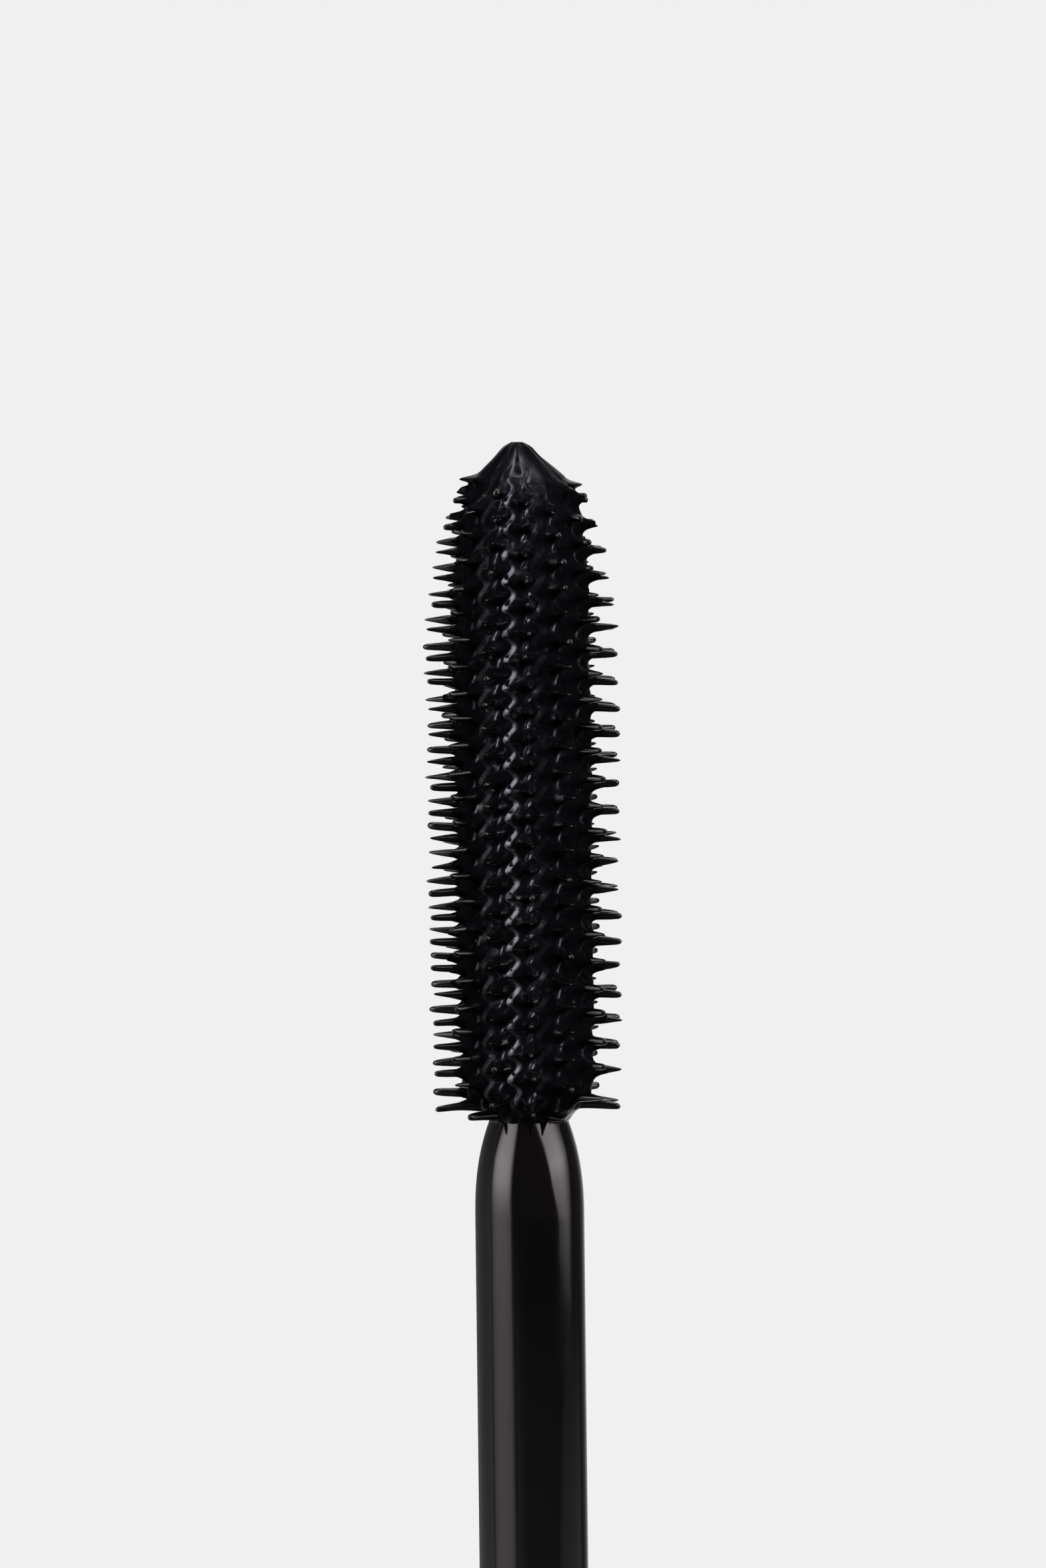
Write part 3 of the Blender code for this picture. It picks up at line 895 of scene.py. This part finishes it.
# The tube's pieces are drawn with its mouth at height 0, and moved up to the rim
VIAL_NECK_R, VIAL_NECK_BORE_R, VIAL_LIP, VIAL_NECK_HIGH = 5.75, 4.7, 0.9, 12.6
VIAL_THREAD_LOW, VIAL_TURNS, VIAL_PHASE = 2.4, 1.25, 0.75 * TAU
SNAP_R, SNAP_BEAD_R, SNAP_HIGH = 6.2, 6.45, 15.25
VIAL_R, VIAL_HIGH = 7.5, 79.7
VIAL_BORE_R, VIAL_BORE_LOW, VIAL_BORE_HIGH = 6.5, 17.0, 78.5
FLANGE_R, FLANGE_LOW, FLANGE_HIGH = 5.6, 0.05, 0.85
WIPER_R, WIPER_BORE_R, WIPER_CONE_LOW = 4.6, 3.8, 6.5
WIPER_LIP_R, WIPER_LIP_BORE_R, WIPER_HIGH = 2.75, 2.25, 10.5
SLEEVE_BORE_R, SLEEVE_LOW, SLEEVE_HIGH = 7.6, 15.3, 81.5
PLUG_R, PLUG_LOW, PLUG_HIGH = 7.55, 79.9, 81.2
LABEL_R, LABEL_LOW, LABEL_HIGH = 6.6, 81.25, 81.4
TRIM_BORE_R, TRIM_LOW, TRIM_HIGH = 6.3, 13.15, 15.2
TRIM_GROOVE_R, TRIM_GROOVE_LOW, TRIM_GROOVE_HIGH = 6.65, 13.5, 14.5
FILL_R, FILL_LOW, FILL_HIGH = 6.4, 22.0, 74.5
CHANNEL_R, CHANNEL_HIGH = 4.15, 73.3


def above_rim(outline):
    """Outline heights given from the tube's mouth, moved to the row frame."""
    return [(p[0], p[1] + RIM, *p[2:]) for p in outline]


def build_vial():
    """The inner bottle: a threaded neck with a bead for the trim ring, and a wide body."""
    neck_top, neck_lip = (VIAL_NECK_R, VIAL_NECK_HIGH), (VIAL_NECK_R, VIAL_LIP)
    outline = [(0, VIAL_HIGH), (VIAL_R, VIAL_HIGH, 0.5), (VIAL_R, SNAP_HIGH), (SNAP_R, SNAP_HIGH)]
    outline += [(SNAP_R, 14.2, 0.04), (SNAP_BEAD_R, 14.05), (SNAP_BEAD_R, 13.95)]
    outline += [(SNAP_R, 13.8, 0.04), (SNAP_R, VIAL_NECK_HIGH, 0.2), (*neck_top, 0.2)]
    outline += dense(neck_top, neck_lip, FINE)
    outline += [(*neck_lip, 0.2), (VIAL_NECK_BORE_R, VIAL_LIP), (VIAL_NECK_BORE_R, 14.5)]
    outline += [(VIAL_BORE_R, VIAL_BORE_LOW, 0.5), (VIAL_BORE_R, VIAL_BORE_HIGH, 0.5)]
    outline += [(0, VIAL_BORE_HIGH)]
    outline = eased(above_rim(outline), 0.08, 3)
    reach = (RIM + 1.2, RIM + 12.0)
    swell = thread(RIM + VIAL_THREAD_LOW, VIAL_TURNS, VIAL_PHASE, False, VIAL_NECK_R, reach)
    look = natural_plastic("vial_plastic", (0.8, 0.8, 0.78), 0.3, smear=(RIM + 1.6, 0.9))
    dress(turned("vial_body", outline, 128, swell), look, "tube", "vial")


def build_wiper():
    """The elastomer sleeve in the neck: a flange on the rim, and a cone with a thin lip."""
    outline = [(FLANGE_R, FLANGE_LOW), (FLANGE_R, FLANGE_HIGH), (WIPER_R, FLANGE_HIGH)]
    outline += [(WIPER_R, WIPER_CONE_LOW), (WIPER_LIP_R, WIPER_HIGH), (WIPER_LIP_BORE_R, WIPER_HIGH)]
    outline += [(WIPER_BORE_R, WIPER_CONE_LOW), (WIPER_BORE_R, FLANGE_LOW)]
    piece = turned("wiper_cone", eased(above_rim(outline), 0.15, 4, loop=True))
    look = natural_plastic("wiper_elastomer", (0.86, 0.86, 0.83), 0.45, smear=(RIM - 0.2, 0.7))
    dress(piece, look, "tube", "wiper")


def build_sleeve():
    """The glossy outer tube, open at both ends."""
    outline = [(SLEEVE_BORE_R, SLEEVE_LOW), (CAP_R, SLEEVE_LOW, 0.25)]
    outline += [(CAP_R, SLEEVE_HIGH, 0.45), (SLEEVE_BORE_R, SLEEVE_HIGH, 0.1)]
    piece = turned("tube_outer", eased(above_rim(outline), 0.1, 7, loop=True), 160)
    dress(piece, gloss_black("tube_gloss", BLACK_GLOSS, 0.1), "tube", "tube_sleeve")


def build_plug():
    outline = [(0, PLUG_LOW), (PLUG_R, PLUG_LOW), (PLUG_R, PLUG_HIGH, 0.2), (0, PLUG_HIGH)]
    look = gloss_black("plug_satin", (0.006, 0.006, 0.007), 0.3)
    dress(turned("tube_plug", eased(above_rim(outline))), look, "tube", "base_plug")


def build_label():
    outline = [(0, LABEL_LOW), (LABEL_R, LABEL_LOW), (LABEL_R, LABEL_HIGH), (0, LABEL_HIGH)]
    piece = turned("tube_label", eased(above_rim(outline), 0.03))
    dress(piece, paper(), "tube", "base_label")


def build_trim():
    """The bright ring between cap and tube, with a groove that snaps over the vial's bead."""
    outline = [(TRIM_BORE_R, TRIM_LOW), (CAP_R, TRIM_LOW, 0.35), (CAP_R, TRIM_HIGH, 0.35)]
    outline += [(TRIM_BORE_R, TRIM_HIGH), (TRIM_BORE_R, TRIM_GROOVE_HIGH)]
    outline += [(TRIM_GROOVE_R, TRIM_GROOVE_HIGH), (TRIM_GROOVE_R, TRIM_GROOVE_LOW)]
    outline += [(TRIM_BORE_R, TRIM_GROOVE_LOW)]
    piece = turned("trim_ring", eased(above_rim(outline), 0.06, 5, loop=True), 160)
    look = metallised("bright_trim", (0.72, 0.72, 0.74), 0.16)
    dress(piece, look, "collar", "tube_collar")


def build_fill():
    """The paste in the vial, with the channel that the brush leaves in it."""
    outline = [(0, FILL_HIGH), (FILL_R, FILL_HIGH), (FILL_R, FILL_LOW, 0.4)]
    outline += [(CHANNEL_R, FILL_LOW, 0.5), (CHANNEL_R, CHANNEL_HIGH, 1.0), (0, CHANNEL_HIGH)]
    piece = turned("paste_fill", eased(above_rim(outline), 0.3, 5))
    dress(piece, wet_paste(), "product", "formula")


# ---------------------------------------------------------------- light

# The light comes from glowing sheets on a sphere about the middle of the brush
CENTRE = Vector((0, 0, 0.0945))
SHEET_R = 0.6
SHEET_COLUMNS, SHEET_STEPS = 33, 8
# A sheet's rows give its elevation, first azimuth, last azimuth and radiance from the bottom
# up. Its second list gives the share of that radiance from the first azimuth (0) to the last
# (1).
SHEETS = {
    "left_softbox": (
        (
            (-45, -92, -31, 1.05),
            (-10.2, -92, -33, 1.3),
            (-9.2, -90, -35, 1.65),
            (-7.2, -90, -36, 2.0),
            (-4, -90, -37, 2.8),
            (2, -90, -37, 4.6),
            (9, -90, -36, 5.2),
            (28, -80, -32, 4.2),
            (42, -78, -32, 2.5),
        ),
        (
            (0, 0),
            (0.06, 0.35),
            (0.15, 0.7),
            (0.3, 0.93),
            (0.5, 1),
            (0.7, 0.95),
            (0.84, 0.8),
            (0.93, 0.25),
            (1, 0),
        ),
    ),
    "right_softbox": (
        (
            (-10.0, 88, 99, 0.1),
            (-9.6, 80, 99, 0.4),
            (-8.9, 63, 99, 1.9),
            (-4, 54, 99, 2.5),
            (2, 48, 101, 3.3),
            (9, 44, 102, 5.3),
            (20, 36, 98, 4.4),
            (33, 20, 90, 4.1),
            (45, 10, 85, 3.0),
        ),
        (
            (0, 0),
            (0.07, 0.85),
            (0.2, 0.93),
            (0.45, 1),
            (0.6, 0.9),
            (0.72, 0.65),
            (0.85, 0.33),
            (1, 0),
        ),
    ),
    "right_bounce": (
        (
            (-45, 50, 124, 0.34),
            (-12.8, 50, 124, 0.32),
            (-11.2, 62, 124, 0.2),
            (-10.2, 72, 124, 0.1),
            (-9.6, 90, 124, 0.05),
        ),
        ((0, 0), (0.15, 1), (0.85, 1), (1, 0.3)),
    ),
    "left_haze": (
        (
            (-45, -155, -90, 0.58),
            (-12.8, -155, -90, 0.53),
            (-11.2, -155, -90, 0.48),
            (-9.2, -155, -90, 0.4),
            (2, -155, -90, 0.33),
            (40, -155, -90, 0.13),
        ),
        ((0, 0.45), (0.5, 0.55), (0.8, 0.75), (0.93, 1), (1, 1)),
    ),
    "right_rim": (
        ((-45, 128, 190, 1.5), (60, 128, 190, 1.5)),
        ((0, 0.05), (0.2, 0.13), (0.4, 0.35), (0.6, 0.9), (1, 1)),
    ),
    "side_strip": (
        ((36, 98, 132, 5), (52, 98, 132, 5)),
        ((0, 0.5), (0.2, 1), (0.8, 1), (1, 0.5)),
    ),
    "floor_glow": (
        (
            (-45, -40, 55, 0.5),
            (-12.8, -40, 55, 0.45),
            (-11.3, -40, 55, 0.38),
            (-9.8, -40, 55, 0.2),
            (-9, -40, 55, 0),
        ),
        ((0, 1), (0.1, 0.65), (0.2, 0.42), (0.33, 0.3), (1, 0.28)),
    ),
    "left_rim": (
        ((-45, -170, -155, 0.25), (60, -170, -155, 0.25)),
        ((0, 1), (1, 0.5)),
    ),
    "overhead": (
        ((62, -180, 180, 0), (70, -180, 180, 3.0), (89, -180, 180, 3.0)),
        ((0, 1), (1, 1)),
    ),
}
# Azimuth, elevation and power of the lamps
LAMPS = ((-40, 55, 9), (150, 50, 8), (40, 25, 6))
LAMP_SIZE, LAMP_DISTANCE = 0.8, 1.2


def toward(azimuth, elevation):
    """A direction: azimuth from the viewer's side to their right, elevation up."""
    a, e = math.radians(azimuth), math.radians(elevation)
    return Vector((math.sin(a) * math.cos(e), -math.cos(a) * math.cos(e), math.sin(e)))


def glowing(name):
    """A material that gives off as much light as the mesh's glow attribute says."""
    light = bpy.data.materials.new(name)
    light.use_nodes = True
    tree = light.node_tree
    tree.nodes.remove(tree.nodes["Principled BSDF"])
    shine = tree.nodes.new("ShaderNodeEmission")
    strength = tree.nodes.new("ShaderNodeAttribute")
    strength.attribute_name = "glow"
    tree.links.new(strength.outputs["Fac"], shine.inputs["Strength"])
    tree.links.new(shine.outputs["Emission"], tree.nodes["Material Output"].inputs["Surface"])
    return light


def softbox(name, rows, across):
    """A glowing sheet, seen only in glossy surfaces."""
    rows = np.array(rows, float)
    levels = np.linspace(0, len(rows) - 1, SHEET_STEPS * (len(rows) - 1) + 1)
    elevation, first, last, radiance = (
        np.interp(levels, np.arange(len(rows)), column)[:, None] for column in rows.T
    )
    share = np.linspace(0, 1, SHEET_COLUMNS)[None, :]
    azimuth = np.radians(first + (last - first) * share)
    tilt = np.radians(elevation)
    glow = radiance * np.interp(share, *zip(*across))
    flat = np.cos(tilt) * np.stack([np.sin(azimuth), -np.cos(azimuth)])
    points = np.stack([flat[0], flat[1], np.broadcast_to(np.sin(tilt), azimuth.shape)], -1)
    points = np.array(CENTRE) + SHEET_R * points
    index = np.arange(azimuth.size).reshape(azimuth.shape)
    quads = np.stack([index[:-1, :-1], index[:-1, 1:], index[1:, 1:], index[1:, :-1]], -1)
    data = bpy.data.meshes.new(name)
    data.from_pydata(points.reshape(-1, 3).tolist(), [], quads.reshape(-1, 4).tolist())
    point_values(data, "glow", glow.ravel())
    data.materials.append(glowing(name))
    made = placed(name, data)
    made.visible_camera = False
    made.visible_shadow = False
    made.visible_diffuse = False


def fill(azimuth, elevation, power):
    """A broad lamp that lights matt surfaces and leaves the gloss alone."""
    lamp = bpy.data.lights.new("fill", "AREA")
    lamp.shape = "DISK"
    lamp.size = LAMP_SIZE
    lamp.energy = power
    made = placed("fill", lamp)
    made.location = CENTRE + toward(azimuth, elevation) * LAMP_DISTANCE
    made.rotation_euler = toward(azimuth, elevation).to_track_quat("Z", "Y").to_euler()
    made.visible_camera = False
    made.visible_glossy = False


def build_lights():
    for name, (rows, across) in SHEETS.items():
        softbox(name, rows, across)
    for lamp in LAMPS:
        fill(*lamp)


# ---------------------------------------------------------------- stage and camera

BACKDROP = (0.871, 0.871, 0.871, 1)
DIM = (0.084, 0.078, 0.085, 1)
FLOOR_SIDES, FLOOR_RINGS, FLOOR_HEIGHT = 96, (0.02, 0.3), -0.00003
# From and to which distance in mm the floor fades out
FLOOR_FADE = (150, 285)
VIEW_TARGET = Vector((-0.000073, 0, 0.09437))
VIEW_ELEVATION, VIEW_DISTANCE, VIEW_ROLL = 4.0, 0.3, -0.68
SENSOR, LENS = 36.0, 172.7


def build_floor():
    """A pale disc under the cap that fades out before its edge. Its faces point down, so it is
    clear from above, where the backdrop shows instead, and is seen only from below."""
    angle = np.linspace(0, TAU, FLOOR_SIDES, endpoint=False)
    rings = [np.stack([r * np.cos(angle), r * np.sin(angle), 0 * angle], -1) for r in FLOOR_RINGS]
    points = np.concatenate(rings + [np.zeros((1, 3))])
    middle = fan(0, FLOOR_SIDES, len(FLOOR_RINGS) * FLOOR_SIDES)[:, ::-1]
    data = bpy.data.meshes.new("floor")
    faces = ring_quads(len(FLOOR_RINGS), FLOOR_SIDES).tolist() + middle.tolist()
    data.from_pydata(points.tolist(), [], faces)
    made = placed("floor", data)
    made.location.z = FLOOR_HEIGHT
    look = Look("floor_paper", (0.83, 0.83, 0.83), 0.7)
    look.bump(look.noise((1.5, 1.5, 1.5), detail=5), 0.01)
    share = look.ramp(look.radial(), *FLOOR_FADE, 1, 0)
    under = look.node("ShaderNodeNewGeometry").outputs["Backfacing"]
    share = look.maths("MULTIPLY", share, look.maths("SUBTRACT", 1.0, under))
    look.link(share, look.shader.inputs["Alpha"])
    data.materials.append(look.material)


def build_world():
    """A pale backdrop for the camera, and a dim room for every other ray."""
    world = bpy.data.worlds.new("backdrop")
    bpy.context.scene.world = world
    world.use_nodes = True
    tree = world.node_tree
    tree.nodes.clear()
    seen = tree.nodes.new("ShaderNodeBackground")
    seen.inputs["Color"].default_value = BACKDROP
    dim = tree.nodes.new("ShaderNodeBackground")
    dim.inputs["Color"].default_value = DIM
    path = tree.nodes.new("ShaderNodeLightPath")
    mix = tree.nodes.new("ShaderNodeMixShader")
    out = tree.nodes.new("ShaderNodeOutputWorld")
    tree.links.new(path.outputs["Is Camera Ray"], mix.inputs[0])
    tree.links.new(dim.outputs["Background"], mix.inputs[1])
    tree.links.new(seen.outputs["Background"], mix.inputs[2])
    tree.links.new(mix.outputs["Shader"], out.inputs["Surface"])


def build_camera():
    """Just above level, close enough to see the brush and the top of the stem."""
    data = bpy.data.cameras.new("camera")
    data.sensor_width = SENSOR
    data.lens = LENS
    data.clip_start = 0.01
    data.clip_end = 10.0
    made = placed("camera", data)
    back = toward(0, VIEW_ELEVATION)
    made.location = VIEW_TARGET + back * VIEW_DISTANCE
    made.rotation_euler = back.to_track_quat("Z", "Y").to_euler()
    made.rotation_euler.rotate_axis("Z", math.radians(VIEW_ROLL))
    bpy.context.scene.camera = made


build_cap_shell()
build_cap_disc()
build_cap_slug()
build_cap_liner()
build_washer()
build_stem()
build_core()
build_bristles()
build_paste()
build_vial()
build_wiper()
build_sleeve()
build_plug()
build_label()
build_trim()
build_fill()
build_lights()
build_floor()
build_world()
build_camera()
bpy.context.scene.view_settings.view_transform = "Standard"
bpy.context.scene.view_settings.look = "None"
